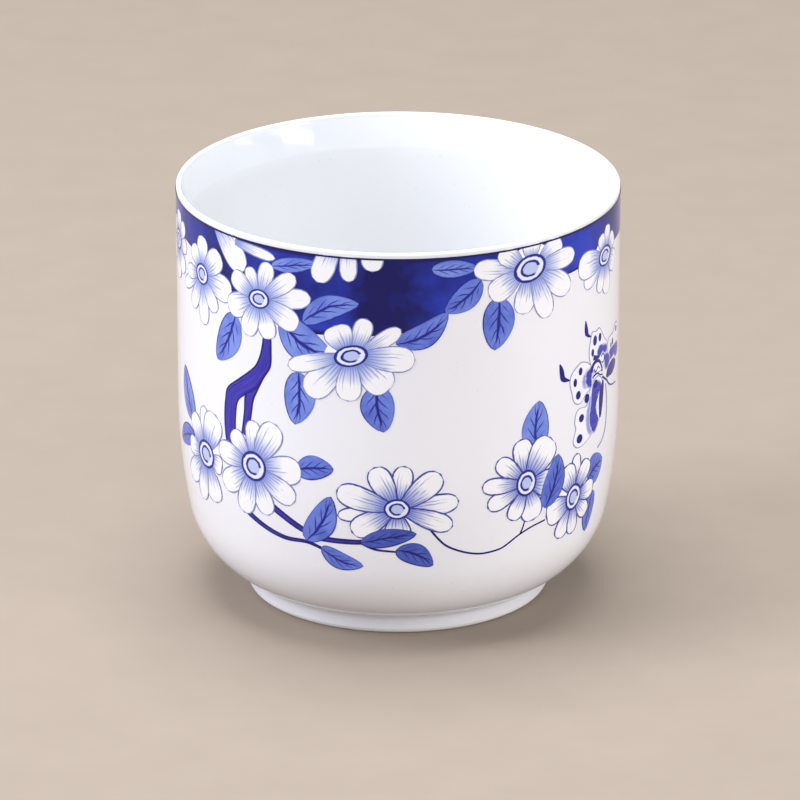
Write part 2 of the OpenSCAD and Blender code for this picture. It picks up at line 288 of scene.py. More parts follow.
# ---------------------------------------------------------------- rim band
# A cobalt cloud ground, the first colour of the transfer. It is cut off level under the lip and
# ends below in a loose painted edge behind the blossoms and leaves.
print_top = height - 0.8
print_weld = 0.0015 * MM
sunk = 0.02


def outer_radius(z):
    """Radius of the glazed outside at a height, in mm."""
    if z >= belly_z:
        return mouth_r
    if z >= belly_z - belly_r * lean_z:
        return belly_x + math.sqrt(belly_r ** 2 - (z - belly_z) ** 2)
    return heel_x + math.sqrt(heel_r ** 2 - (z - heel_z) ** 2)


def on_cup(angle, z, lift):
    """A point of the print: degrees round the cup from the front, height and lift in mm."""
    r = outer_radius(z) + lift
    turned = math.radians(angle)
    return (r * math.sin(turned) * MM, -r * math.cos(turned) * MM, z * MM)


def press(across, along, shape, margin, lift):
    """One patch of printed colour: a grid laid on the cup and given a thin body.

    shape gives the angle and height at u, v; margin the distance to the drawn outline in mm.
    lift is how far its face stands off the glaze in mm: what is drawn later lies higher.
    """
    clean_slate()
    bpy.ops.mesh.primitive_grid_add(x_subdivisions=across, y_subdivisions=along, size=1)
    made = bpy.context.object
    edge = made.data.attributes.new("edge_mm", "FLOAT", "POINT")
    for vertex in made.data.vertices:
        u = round((vertex.co.x + 0.5) * across) / across
        v = round((vertex.co.y + 0.5) * along) / along
        edge.data[vertex.index].value = margin(u, v)
        angle, z = shape(u, v)
        vertex.co = on_cup(angle, z, lift)
    bpy.ops.object.mode_set(mode="EDIT")
    bpy.ops.mesh.select_all(action="SELECT")
    bpy.ops.mesh.remove_doubles(threshold=print_weld)
    if max(vertex.co.z for vertex in made.data.vertices) > (print_top + 0.01) * MM:
        bpy.ops.mesh.select_all(action="SELECT")
        bpy.ops.mesh.bisect(plane_co=(0, 0, print_top * MM), plane_no=(0, 0, 1), clear_outer=True)
    bpy.ops.object.mode_set(mode="OBJECT")
    outward = sum(
        face.normal.x * face.center.x + face.normal.y * face.center.y for face in made.data.polygons
    )
    if outward < 0:
        made.data.flip_normals()
    body = made.modifiers.new("film", "SOLIDIFY")
    body.thickness = (lift + sunk) * MM
    body.offset = -1
    bpy.ops.object.modifier_apply(modifier="film")
    return made


def gather(name, patches, material):
    """Joins the patches of one motif into one piece."""
    clean_slate()
    for patch in patches:
        patch.select_set(True)
    made = patches[0]
    bpy.context.view_layer.objects.active = made
    if len(patches) > 1:
        bpy.ops.object.join()
    made.name = name
    bpy.ops.object.shade_smooth_by_angle(angle=crease)
    made.data.materials.clear()
    made.data.materials.append(material)
    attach(made, "root")
    return made


def smooth_line(points, closed=False):
    """A smooth curve through a few points, as a function of 0 to 1."""
    n = len(points)
    spans = n if closed else n - 1

    def at(t):
        t = min(max(t, 0), 1) * spans
        i = min(int(t), spans - 1)
        f = t - i
        pick = (lambda k: points[k % n]) if closed else (lambda k: points[min(max(k, 0), n - 1)])
        p0, p1, p2, p3 = pick(i - 1), pick(i), pick(i + 1), pick(i + 2)
        return tuple(
            0.5 * (2 * b + (c - a) * f + (2 * a - 5 * b + 4 * c - d) * f * f
                   + (3 * b - a - 3 * c + d) * f ** 3)
            for a, b, c, d in zip(p0, p1, p2, p3)
        )
    return at


def fire(shader, roughness=0.1):
    """The skin of a fired print: glossy, but it mirrors less than the bare glaze does."""
    shader.inputs["Roughness"].default_value = roughness
    shader.inputs["IOR"].default_value = glaze_ior
    shader.inputs["Specular IOR Level"].default_value = 0.3


# Cobalt ground: brush-laid blue with navy clouds some 15 mm across, under a glossy skin.
cobalt, tree, shader = finish("cobalt_ground_under_gloss")
place = add(tree, "TexCoord").outputs["Object"]
edge = add(tree, "Attribute", {"attribute_name": "edge_mm"}).outputs["Fac"]
cloud = add(tree, "TexNoise", Vector=place, Scale=62.0, Detail=4.0, Roughness=0.55).outputs[0]
wash = add(tree, "TexNoise", Vector=place, Scale=330.0, Detail=3.0).outputs[0]
mixed = add(tree, "Math", {"operation": "MULTIPLY_ADD"}, _0=wash, _1=0.16, _2=cloud).outputs[0]
depth = add(tree, "MapRange", Value=mixed, From_Min=0.46, From_Max=0.72)
# a navy pool lies in the middle of each repeat, where the brush was loaded
pool = add(tree, "VectorMath", {"operation": "DISTANCE"}, _0=place,
           _1=(-0.001, -0.035, 0.0605)).outputs["Value"]
twin = add(tree, "VectorMath", {"operation": "DISTANCE"}, _0=place,
           _1=(0.001, 0.035, 0.0605)).outputs["Value"]
pool = add(tree, "Math", {"operation": "MINIMUM"}, _0=pool, _1=twin).outputs[0]
pool = add(tree, "MapRange", Value=pool, From_Min=0.002, From_Max=0.008, To_Min=0.9,
           To_Max=0.0).outputs[0]
depth = add(tree, "Math", {"operation": "ADD", "use_clamp": True}, _0=depth.outputs[0], _1=pool)
ground = add(tree, "Mix", {"data_type": "RGBA"}, _0=depth.outputs[0], _6=paint("263cb8"),
             _7=paint("0a0c58"))
line = add(tree, "MapRange", Value=edge, From_Min=0.15, From_Max=0.45, To_Min=1.0, To_Max=0.0)
rim = add(tree, "Mix", {"data_type": "RGBA"}, _0=line.outputs[0], _6=ground.outputs[2],
          _7=paint("120f58"))
tree.links.new(rim.outputs[2], shader.inputs["Base Color"])
fire(shader)

# degrees from one printing of the picture to the next
repeat = 180
border = smooth_line([
    (-90, 60.4), (-75, 61.5), (-68, 61), (-60, 59), (-50, 56), (-42, 56), (-30, 54.2), (-24, 53.4),
    (-17, 53.4), (-10, 53.6), (0.5, 54.3), (6, 55.2), (12.3, 57.5), (16.5, 60), (21.5, 62.3),
    (28, 62),
    (36, 61), (46, 60), (53, 60), (60, 60.8), (75, 60.6), (90, 60.4),
])
border_parts = 240
border_steps = [border(i / border_parts) for i in range(border_parts + 1)]


def border_height(angle):
    folded = (angle + 90) % repeat - 90
    for (a0, z0), (a1, z1) in zip(border_steps, border_steps[1:]):
        if a0 <= folded <= a1:
            return z0 + (z1 - z0) * (folded - a0) / max(a1 - a0, 0.001)
    return border_steps[0][1]


def band_shape(u, v):
    angle = 360 * u - 180
    waver = math.sin(math.radians(angle * 23)) * math.sin(math.radians(angle * 7))
    low = border_height(angle) + 0.15 * waver
    return angle, low + (print_top - low) * v


def band_margin(u, v):
    return v * 6 if v < 0.5 else (1 - v) * 6


band = gather(
    "cobalt_rim_band",
    [press(480, 8, band_shape, band_margin, 0.03)],
    cobalt,
)
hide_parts("rim_band")


top_line_w = 0.28


def top_line_shape(u, v):
    return 360 * u - 180, print_top - top_line_w + top_line_w * v


top_line = gather(
    "rim_band_top_line",
    [press(360, 1, top_line_shape, lambda u, v: 0, 0.09)],
    cobalt,
)
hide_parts("rim_band")

# ---------------------------------------------------------------- trunk and branches
# The second colour: a violet-blue forked trunk with a darker drawn edge, and long thin branches
# that run from it under the lower blossoms.
bark, tree, shader = finish("violet_blue_trunk_print")
place = add(tree, "TexCoord").outputs["Object"]
edge = add(tree, "Attribute", {"attribute_name": "edge_mm"}).outputs["Fac"]
uv = add(tree, "TexCoord").outputs["UV"]
drawn = add(tree, "Mapping", Vector=uv, Scale=(5.0, 1.5, 1.0)).outputs[0]
streak = add(tree, "TexNoise", Vector=drawn, Scale=2.0, Detail=4.0, Roughness=0.6).outputs[0]
depth = add(tree, "MapRange", Value=streak, From_Min=0.42, From_Max=0.62)
wood = add(tree, "Mix", {"data_type": "RGBA"}, _0=depth.outputs[0], _6=paint("4039b0"),
           _7=paint("2a2390"))
wobble = add(tree, "TexNoise", Vector=place, Scale=900.0, Detail=1.0).outputs[0]
reach = add(tree, "Math", {"operation": "MULTIPLY_ADD"}, _0=wobble, _1=-0.3, _2=edge).outputs[0]
line = add(tree, "MapRange", Value=reach, From_Min=0.08, From_Max=0.26, To_Min=1.0, To_Max=0.0)
drawn = add(tree, "Mix", {"data_type": "RGBA"}, _0=line.outputs[0], _6=wood.outputs[2],
            _7=paint("17126a"))
tree.links.new(drawn.outputs[2], shader.inputs["Base Color"])
fire(shader)


def turned_by(points, k):
    return [(a + k * repeat, z) for a, z in points]


def between(left, right, steps, across, lift):
    """A patch between two drawn side lines."""
    one, two = smooth_line(left), smooth_line(right)

    def shape(u, v):
        (a0, z0), (a1, z1) = one(v), two(v)
        return a0 + (a1 - a0) * u, z0 + (z1 - z0) * u

    def margin(u, v):
        (a0, z0), (a1, z1) = one(v), two(v)
        wide = math.hypot(math.radians(a1 - a0) * mouth_r, z1 - z0)
        return min(u, 1 - u) * wide

    return press(across, steps, shape, margin, lift)


def stroke(points, start_w, stop_w, steps, lift, across=2):
    """A drawn line of changing width."""
    middle = smooth_line(points)

    def frame_at(v):
        a, z = middle(v)
        a0, z0 = middle(max(v - 0.01, 0))
        a1, z1 = middle(min(v + 0.01, 1))
        dx, dz = math.radians(a1 - a0) * mouth_r, z1 - z0
        size = math.hypot(dx, dz) or 1
        return a, z, -dz / size, dx / size

    def width(v):
        return start_w + (stop_w - start_w) * v

    def shape(u, v):
        a, z, nx, nz = frame_at(v)
        off = (u - 0.5) * width(v)
        return a + math.degrees(nx * off / outer_radius(z)), z + nz * off

    def margin(u, v):
        return min(u, 1 - u) * width(v)

    return press(across, steps, shape, margin, lift)


trunk_left = [(-36.6, 52), (-37.2, 49.5), (-38.2, 47.5), (-40, 45.8), (-44.8, 43.4), (-49.3, 41.2),
              (-50.4, 39), (-50.8, 36), (-50.4, 33), (-49.4, 30.6)]
trunk_right = [(-34.1, 52), (-34, 49.5), (-34.2, 46.8), (-36, 44.9), (-39, 42.4), (-42.6, 40.9),
               (-45.4, 39.3), (-46.2, 36.5), (-46.3, 34), (-46.6, 31)]
fork_left = [(-39.6, 45.4), (-41.6, 43.2), (-43, 40.6), (-43.3, 38), (-44.2, 34.4)]
fork_right = [(-36, 45), (-38.6, 42), (-39.9, 40.2), (-40.7, 37.4), (-41.8, 33.8)]
lower_branch = [(-43.5, 21.6), (-41.9, 20.8), (-36.6, 19.3), (-30.9, 18.4), (-24.7, 18.4),
                (-20, 17.5)]
flower_branch = [(-34.5, 23.4), (-28.8, 21.4), (-25, 20.3), (-20.6, 19.4), (-12.4, 19.3),
                 (-8, 19.5)]
fine_stem = [(-10, 19.3), (-6, 18.2), (0, 17.8), (3, 17.2)]

for k in (0, 1):
    trunk = gather(
        f"tree_trunk_{k}",
        [between(turned_by(trunk_left, k), turned_by(trunk_right, k), 40, 8, 0.042),
         between(turned_by(fork_left, k), turned_by(fork_right, k), 30, 6, 0.04)],
        bark,
    )
    branches = gather(
        f"tree_branches_{k}",
        [stroke(turned_by(lower_branch, k), 1.1, 0.5, 60, 0.04),
         stroke(turned_by(flower_branch, k), 1.2, 0.8, 60, 0.042),
         stroke(turned_by(fine_stem, k), 0.4, 0.25, 30, 0.044)],
        bark,
    )
    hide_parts("tree_branches")
    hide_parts("tree_branches")

# ---------------------------------------------------------------- leaves
# Mid-blue leaves with a dark middle rib, slanting side veins and a drawn edge. The upper ones
# are printed paler than the lower ones.
def leaf_finish(name, pale, deep, ink):
    made, tree, shader = finish(name)
    place = add(tree, "TexCoord").outputs["Object"]
    uv = add(tree, "TexCoord").outputs["UV"]
    edge = add(tree, "Attribute", {"attribute_name": "edge_mm"}).outputs["Fac"]
    split = add(tree, "SeparateXYZ", Vector=uv)
    u, v = split.outputs[0], split.outputs[1]
    wobble = add(tree, "TexNoise", Vector=place, Scale=420.0, Detail=2.0).outputs[0]
    shifted = add(tree, "Math", {"operation": "MULTIPLY_ADD"}, _0=wobble, _1=0.16, _2=u).outputs[0]
    side = add(tree, "Math", {"operation": "SUBTRACT"}, _0=shifted, _1=0.58).outputs[0]
    off = add(tree, "Math", {"operation": "ABSOLUTE"}, _0=side).outputs[0]
    rib = add(tree, "MapRange", Value=off, From_Min=0.03, From_Max=0.07, To_Min=1.0,
              To_Max=0.0).outputs[0]
    # side veins leave the rib at a slant, three or four to a side, offset between the sides
    sign = add(tree, "Math", {"operation": "SIGN"}, _0=side).outputs[0]
    step = add(tree, "Math", {"operation": "MULTIPLY_ADD"}, _0=sign, _1=0.22, _2=0.1).outputs[0]
    slant = add(tree, "Math", {"operation": "MULTIPLY_ADD"}, _0=off, _1=-0.85, _2=v).outputs[0]
    count = add(tree, "Math", {"operation": "MULTIPLY_ADD"}, _0=slant, _1=4.6, _2=step).outputs[0]
    saw = add(tree, "Math", {"operation": "FRACT"}, _0=count).outputs[0]
    near = add(tree, "Math", {"operation": "SUBTRACT"}, _0=saw, _1=0.5).outputs[0]
    gap = add(tree, "Math", {"operation": "ABSOLUTE"}, _0=near).outputs[0]
    vein = add(tree, "MapRange", Value=gap, From_Min=0.05, From_Max=0.13, To_Min=1.0,
               To_Max=0.0).outputs[0]
    short = add(tree, "MapRange", Value=off, From_Min=0.2, From_Max=0.34, To_Min=1.0,
                To_Max=0.0).outputs[0]
    vein = add(tree, "Math", {"operation": "MULTIPLY"}, _0=vein, _1=short).outputs[0]
    start = add(tree, "MapRange", Value=v, From_Min=0.12, From_Max=0.2).outputs[0]
    vein = add(tree, "Math", {"operation": "MULTIPLY"}, _0=vein, _1=start).outputs[0]
    end = add(tree, "MapRange", Value=v, From_Min=0.8, From_Max=0.92, To_Min=1.0,
              To_Max=0.0).outputs[0]
    rib = add(tree, "Math", {"operation": "MULTIPLY"}, _0=rib, _1=end).outputs[0]
    lines = add(tree, "Math", {"operation": "MAXIMUM"}, _0=rib, _1=vein).outputs[0]
    rough = add(tree, "TexNoise", Vector=place, Scale=1100.0, Detail=1.0).outputs[0]
    reach = add(tree, "Math", {"operation": "MULTIPLY_ADD"}, _0=rough, _1=-0.2, _2=edge).outputs[0]
    outline = add(tree, "MapRange", Value=reach, From_Min=0.0, From_Max=0.16, To_Min=1.0,
                  To_Max=0.0).outputs[0]
    # the drawn edge is strong on one side of a leaf and nearly lost on the other
    lost = add(tree, "MapRange", Value=u, From_Min=0.35, From_Max=0.7, To_Min=1.0,
               To_Max=0.25).outputs[0]
    outline = add(tree, "Math", {"operation": "MULTIPLY"}, _0=outline, _1=lost).outputs[0]
    lines = add(tree, "Math", {"operation": "MAXIMUM"}, _0=lines, _1=outline).outputs[0]
    wash = add(tree, "TexNoise", Vector=place, Scale=260.0, Detail=4.0, Roughness=0.6).outputs[0]
    wash = add(tree, "MapRange", Value=wash, From_Min=0.38, From_Max=0.64).outputs[0]
    body = add(tree, "Mix", {"data_type": "RGBA"}, _0=wash, _6=paint(pale),
               _7=paint(deep)).outputs[2]
    drawn = add(tree, "Mix", {"data_type": "RGBA"}, _0=lines, _6=body, _7=paint(ink)).outputs[2]
    tree.links.new(drawn, shader.inputs["Base Color"])
    fire(shader)
    return made


leaf_pale = leaf_finish("pale_blue_leaf_print", "7a90e0", "5f76ce", "1c238c")
leaf_deep = leaf_finish("mid_blue_leaf_print", "6c82da", "5065c4", "1a2086")
leaf_dark = leaf_finish("deep_blue_leaf_print", "4a5ebc", "35449e", "151a74")


def to_mm(angle, z, mid_angle, mid_z):
    return math.radians(angle - mid_angle) * outer_radius(z), z - mid_z


def from_mm(x, y, mid_angle, mid_z):
    z = mid_z + y
    return mid_angle + math.degrees(x / outer_radius(z)), z


def leaf(a0, z0, a1, z1, wide, bend, lift):
    """A leaf from its base to its tip, bent to one side by a part of its length."""
    dx, dy = to_mm(a1, z1, a0, z0)
    size = math.hypot(dx, dy)
    ux, uy = dx / size, dy / size

    def half(v):
        return wide / 2 * math.sin(math.pi * v ** 0.84) ** 0.62 if 0 < v < 1 else 0

    def shape(u, v):
        side = (2 * u - 1) * half(v) + bend * size * math.sin(math.pi * v)
        return from_mm(ux * size * v - uy * side, uy * size * v + ux * side, a0, z0)

    def margin(u, v):
        return min((1 - abs(2 * u - 1)) * half(v), v * size, (1 - v) * size)

    return press(12, 20, shape, margin, lift)


upper_leaves = [
    (-46, 53.8, -53.4, 45, 5.2, 0.06, "pale"),
    (-31.5, 55, -16.8, 49.8, 6, -0.1, "pale"),
    (-24.9, 55.1, -9.8, 59, 3.9, 0.1, "pale"),
    (-34, 63.3, -20.5, 64.9, 2.5, 0, "pale"),
    (-26, 46.8, -27.2, 38, 5.4, 0.05, "pale"),
    (-5.5, 45.8, -3.6, 38.1, 5.4, -0.05, "deep"),
    (-0.6, 52.6, 12.8, 57.4, 4, -0.12, "deep"),
    (21.5, 62.3, 11.8, 57.5, 4.2, 0.06, "deep"),
    (8.4, 64.6, 20.4, 64.3, 2.9, 0, "pale"),
    (26.3, 59, 25.2, 50.4, 5.6, 0.04, "deep"),
]
lower_leaves = [
    (38, 32, 38.7, 40.5, 5.4, 0.05, "pale"),
    (59, 23.8, 67.4, 25.8, 5.4, 0.05, "deep"),
    (62.9, 21.2, 61.8, 14.2, 3.6, -0.06, "deep"),
    (-66.5, 32, -73.3, 40.2, 4.8, 0.05, "pale"),
    (-66, 29.8, -78.4, 26.9, 3.8, -0.05, "deep"),
    (-27, 30.4, -16.6, 31.5, 4.1, 0.06, "deep"),
    (-24.8, 18.6, -17.4, 26.8, 4.6, -0.08, "deep"),
    (-20.8, 17.8, -9.3, 15.1, 3.2, -0.1, "deep"),
    (-0.6, 18.2, 9.4, 15.3, 3.8, 0.1, "dark"),
]
front_leaves = [
    (41.6, 22, 45.6, 30.6, 4.7, -0.06, "deep"),
    (-9.8, 19.3, 4.8, 21, 3.2, 0.02, "dark"),
]
leaf_tones = {"pale": leaf_pale, "deep": leaf_deep, "dark": leaf_dark}
for group, rows, lift, node in (
    ("upper_leaf", upper_leaves, 0.05, "upper_leaves"),
    ("lower_leaf", lower_leaves, 0.05, "lower_leaves"),
    ("front_leaf", front_leaves, 0.095, "lower_leaves"),
):
    for i, (a0, z0, a1, z1, wide, bend, shade) in enumerate(rows):
        for k in (0, 1):
            patch = leaf(a0 + k * repeat, z0, a1 + k * repeat, z1, wide, bend, lift)
            piece = gather(f"{group}_{i}_{k}", [patch], leaf_tones[shade])
            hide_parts(node)

# ---------------------------------------------------------------- blossoms
# White blossoms left bare of the ground. Their petals have a thin drawn edge and fine blue
# strokes that run out from the eye and fade before the tip.
petal_roughness = 0.08


def petal_finish(name, root, ink, line, wide):
    made, tree, shader = finish(name)
    place = add(tree, "TexCoord").outputs["Object"]
    uv = add(tree, "TexCoord").outputs["UV"]
    edge = add(tree, "Attribute", {"attribute_name": "edge_mm"}).outputs["Fac"]
    split = add(tree, "SeparateXYZ", Vector=uv)
    u, v = split.outputs[0], split.outputs[1]
    drift = add(tree, "TexNoise", Vector=place, Scale=500.0, Detail=1.0).outputs[0]
    lane = add(tree, "Math", {"operation": "MULTIPLY_ADD"}, _0=drift, _1=0.1, _2=u).outputs[0]
    wave = add(tree, "Math", {"operation": "MULTIPLY"}, _0=lane, _1=44.0).outputs[0]
    wave = add(tree, "Math", {"operation": "SINE"}, _0=wave).outputs[0]
    apart = add(tree, "TexNoise", Vector=place, Scale=90.0, Detail=0.0).outputs[0]
    apart = add(tree, "Math", {"operation": "MULTIPLY"}, _0=apart, _1=9.0).outputs[0]
    across_u = add(tree, "Math", {"operation": "MULTIPLY"}, _0=u, _1=8.0).outputs[0]
    lanes = add(tree, "CombineXYZ", X=across_u, Y=apart).outputs[0]
    length = add(tree, "TexNoise", Vector=lanes, Scale=1.0, Detail=1.0).outputs[0]
    fade = add(tree, "Math", {"operation": "MULTIPLY_ADD"}, _0=length, _1=-1.5, _2=v).outputs[0]
    limit = add(tree, "MapRange", Value=fade, From_Min=-0.55, From_Max=-0.05, To_Min=-0.1,
                To_Max=1.2).outputs[0]
    over = add(tree, "Math", {"operation": "SUBTRACT"}, _0=wave, _1=limit).outputs[0]
    hatch = add(tree, "MapRange", Value=over, From_Min=0.0, From_Max=0.7, To_Max=0.62).outputs[0]
    near_eye = add(tree, "MapRange", Value=v, From_Min=0.1, From_Max=0.56, To_Min=0.85,
                   To_Max=0.0).outputs[0]
    bloom = add(tree, "Mix", {"data_type": "RGBA"}, _0=near_eye, _6=paint("eff0f6"),
                _7=paint(root)).outputs[2]
    inked = add(tree, "Mix", {"data_type": "RGBA"}, _0=hatch, _6=bloom, _7=paint(ink)).outputs[2]
    rough = add(tree, "TexNoise", Vector=place, Scale=1100.0, Detail=1.0).outputs[0]
    reach = add(tree, "Math", {"operation": "MULTIPLY_ADD"}, _0=rough, _1=-0.24, _2=edge).outputs[0]
    outline = add(tree, "MapRange", Value=reach, From_Min=wide - 0.14, From_Max=wide, To_Min=1.0,
                  To_Max=0.0).outputs[0]
    drawn = add(tree, "Mix", {"data_type": "RGBA"}, _0=outline, _6=inked, _7=paint(line)).outputs[2]
    tree.links.new(drawn, shader.inputs["Base Color"])
    fire(shader, petal_roughness)
    return made


petal_soft = petal_finish("soft_lined_petal_print", "6c88d6", "6279c6", "7c86bc", 0.14)
petal_grey = petal_finish("grey_lined_petal_print", "6680d2", "566cc0", "7a80b4", 0.18)
petal_inked = petal_finish("dark_lined_petal_print", "5a74cc", "3c4cae", "36429a", 0.22)

# The eye: a dark ring, a pale ring inside it and an open curl round a mid-blue middle.
eye_print, tree, shader = finish("ringed_blossom_eye_print")
uv = add(tree, "TexCoord").outputs["UV"]
place = add(tree, "TexCoord").outputs["Object"]
split = add(tree, "SeparateXYZ", Vector=uv)
u, v = split.outputs[0], split.outputs[1]
rough = add(tree, "TexNoise", Vector=place, Scale=1300.0, Detail=1.0).outputs[0]
out = add(tree, "Math", {"operation": "MULTIPLY_ADD"}, _0=rough, _1=0.12, _2=v).outputs[0]
ring = add(tree, "MapRange", Value=out, From_Min=0.85, From_Max=0.9).outputs[0]
core = add(tree, "MapRange", Value=out, From_Min=0.55, From_Max=0.62, To_Min=1.0,
           To_Max=0.0).outputs[0]
curl = add(tree, "Math", {"operation": "SUBTRACT"}, _0=out, _1=0.58).outputs[0]
curl = add(tree, "Math", {"operation": "ABSOLUTE"}, _0=curl).outputs[0]
curl = add(tree, "MapRange", Value=curl, From_Min=0.065, From_Max=0.11, To_Min=1.0,
           To_Max=0.0).outputs[0]
open_side = add(tree, "MapRange", Value=u, From_Min=0.8, From_Max=0.86, To_Min=1.0,
                To_Max=0.0).outputs[0]
curl = add(tree, "Math", {"operation": "MULTIPLY"}, _0=curl, _1=open_side).outputs[0]
inner = add(tree, "Mix", {"data_type": "RGBA"}, _0=core, _6=paint("dfe4f6"),
            _7=paint("b4c1e8")).outputs[2]
lines = add(tree, "Math", {"operation": "MAXIMUM"}, _0=ring, _1=curl).outputs[0]
drawn = add(tree, "Mix", {"data_type": "RGBA"}, _0=lines, _6=inner, _7=paint("262a8c")).outputs[2]
tree.links.new(drawn, shader.inputs["Base Color"])
fire(shader)


def petal(mid, start, tip, wide, lift):
    """A petal from under the eye to its tip, all in mm round the blossom's middle."""
    dx, dy = tip[0] - start[0], tip[1] - start[1]
    size = math.hypot(dx, dy)
    ux, uy = dx / size, dy / size
    full = 0.64

    def half(v):
        if v < full:
            return wide * (0.5 + 0.5 * math.sin(math.pi / 2 * v / full))
        return wide * max(1 - ((v - full) / (1 - full)) ** 2.3, 0) ** 0.5

    def shape(u, v):
        side = (2 * u - 1) * half(v)
        return from_mm(start[0] + ux * size * v - uy * side, start[1] + uy * size * v + ux * side,
                       *mid)

    def margin(u, v):
        return min((1 - abs(2 * u - 1)) * half(v), (1 - v) * size)

    return press(8, 16, shape, margin, lift)


def oval(mid, wide, tall, tilt, lift, margin=None):
    """The eye, as rings round its middle."""
    lean = math.radians(tilt)

    def shape(u, v):
        x, y = v * wide / 2 * math.cos(math.tau * u), v * tall / 2 * math.sin(math.tau * u)
        return from_mm(x * math.cos(lean) - y * math.sin(lean),
                       x * math.sin(lean) + y * math.cos(lean), *mid)

    return press(32, 8, shape, margin or (lambda u, v: (1 - v) * tall / 2), lift)


# middle angle and height, eye width, height and tilt, then the petal tips turning anticlockwise
upper_blossoms = [
    (-79, 60, 4, 3.4, 0, [(-78, 65), (-85, 62.5), (-86, 57), (-79, 53.5), (-72.5, 55.5),
                          (-70.5, 60), (-72, 63.5)]),
    (-60.6, 57.8, 3.9, 3.5, 0, [(-60.3, 64.2), (-66, 61.8), (-69.6, 56.8), (-72, 54), (-66.1, 51.3),
                                (-59.5, 49.5), (-53.8, 52.6), (-47.2, 56.8), (-51.7, 62.4)]),
    (-37.9, 57.4, 4.2, 3.2, 10, [(-34.7, 63.8), (-41.3, 62.3), (-47.2, 60.3), (-48.7, 54.4),
                                 (-42.3, 50.9), (-34.5, 51.1), (-26, 54.2), (-22.4, 59.2),
                                 (-26.8, 62.4)]),
    (-12, 50.4, 5.6, 3.5, 16, [(-7.9, 56.7, 1.6), (-16.4, 55.2, 2.4), (-29.2, 47.5, 1.5),
                               (-23.8, 43.3, 2.4), (-12.8, 42.9, 2.1), (-2.3, 45, 2.6),
                               (4.4, 50, 2.2), (0.8, 55.1, 1.35)]),
    (35.5, 62.7, 6.2, 4.5, 8, [(46, 66), (36, 67.4), (26.5, 66.6), (19.2, 64.1), (23.6, 59.3),
                               (33.3, 55.4), (41.7, 53.9), (49.4, 57.2), (51.3, 62.9)]),
    (67.1, 59.6, 5, 3.4, 0, [(69.1, 64.5), (64.2, 63.5), (52.8, 60), (55.6, 56.5), (63.4, 54),
                             (68.7, 53), (75, 57), (74, 62)]),
]
lower_blossoms = [
    (-59.5, 28, 4.9, 4.7, -6, [(-60.5, 36), (-66.9, 33.6), (-69.5, 28), (-70.4, 22), (-63.6, 19.5),
                                (-55.8, 20.3), (-52, 27), (-54.6, 35.5)]),
    (-40.1, 29.4, 5.1, 5, 0, [(-40.1, 37.1), (-47.6, 34.3), (-53.2, 30.5), (-51.7, 24.3),
                              (-44.4, 20.8), (-35.8, 21.6), (-27.4, 25), (-25.3, 30.3),
                              (-32.5, 37.3)]),
    (-0.3, 25.3, 4.2, 3.5, 0, [(1.7, 32.6), (-6.2, 32.3), (-16, 28), (-15.9, 23.7), (-12.2, 21),
                               (0, 19.6), (14.3, 21.9, 1.75), (15.8, 26.2, 1.8), (11, 31, 2.1)]),
    (34.9, 27.3, 3.9, 4.5, 0, [(33.1, 34.9), (26, 32), (21.8, 28), (23.5, 24.3), (30.8, 21.3),
                               (38, 20.5), (45, 26), (42.7, 33.9)]),
    (52.7, 22, 4.0, 4.6, -8, [(53.2, 29.4), (48.2, 27.9), (42.3, 20.3), (48, 15.5), (54, 15.3),
                               (60.5, 17.8), (62.8, 22), (58.9, 27.4)]),
]
petal_tones = {
    "upper_blossom": [petal_soft] * 6,
    "lower_blossom": [petal_grey, petal_grey, petal_inked, petal_inked, petal_inked],
}
for group, rows, node in (
    ("upper_blossom", upper_blossoms, "upper_blossoms"),
    ("lower_blossom", lower_blossoms, "lower_blossoms"),
):
    for i, (mid_a, mid_z, eye_w, eye_h, tilt, tips) in enumerate(rows):
        for k in (0, 1):
            mid = (mid_a + k * repeat, mid_z)
            ends = [to_mm(tip[0], tip[1], mid_a, mid_z) for tip in tips]
            ways = [math.atan2(y, x) for x, y in ends]
            # the wash of blue that lies between the petals round the eye
            patches = [oval(mid, eye_w + 3.2, eye_h + 3.2, tilt, 0.055, lambda u, v: 1.0)]
            for j, (x, y) in enumerate(ends):
                before = (ways[j] - ways[j - 1]) % math.tau
                after = (ways[(j + 1) % len(ends)] - ways[j]) % math.tau
                room = min((before + after) / 4, 0.62)
                far = math.hypot(x, y)
                start = (x / far * eye_w * 0.36, y / far * eye_h * 0.36)
                own = tips[j][2:] or (min(math.tan(room) * far * 0.66, far * 0.38),)
                patches.append(petal(mid, start, (x, y), own[0], 0.06 + 0.002 * ((j * 4) % 9)))
            piece = gather(f"{group}_{i}_{k}", patches, petal_tones[group][i])
            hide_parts(node)
            eye = gather(f"{group}_eye_{i}_{k}", [oval(mid, eye_w, eye_h, tilt, 0.085)], eye_print)
            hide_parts("blossom_eyes")

# Petals of three more blossoms that the top of the print cuts off: base, tip and half width.
rim_petals = [
    ((-53.6, 68), (-42.8, 61.2), 2.4), ((-46, 65.6), (-32.6, 64.6), 0.95),
    ((-16, 69), (-20.9, 61.9), 1.9),
    ((-12.6, 69), (-12.6, 62.4), 1.45), ((-6.5, 70), (-6.5, 64.3), 1.8),
]
for k in (0, 1):
    patches = []
    for j, (base_at, tip_at, wide) in enumerate(rim_petals):
        mid = (base_at[0] + k * repeat, base_at[1])
        tip = (math.radians(tip_at[0] - base_at[0]) * mouth_r, tip_at[1] - base_at[1])
        patches.append(petal(mid, (0, 0), tip, wide, 0.056 + 0.001 * j))
    piece = gather(f"rim_petals_{k}", patches, petal_soft)
    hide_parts("upper_blossoms")

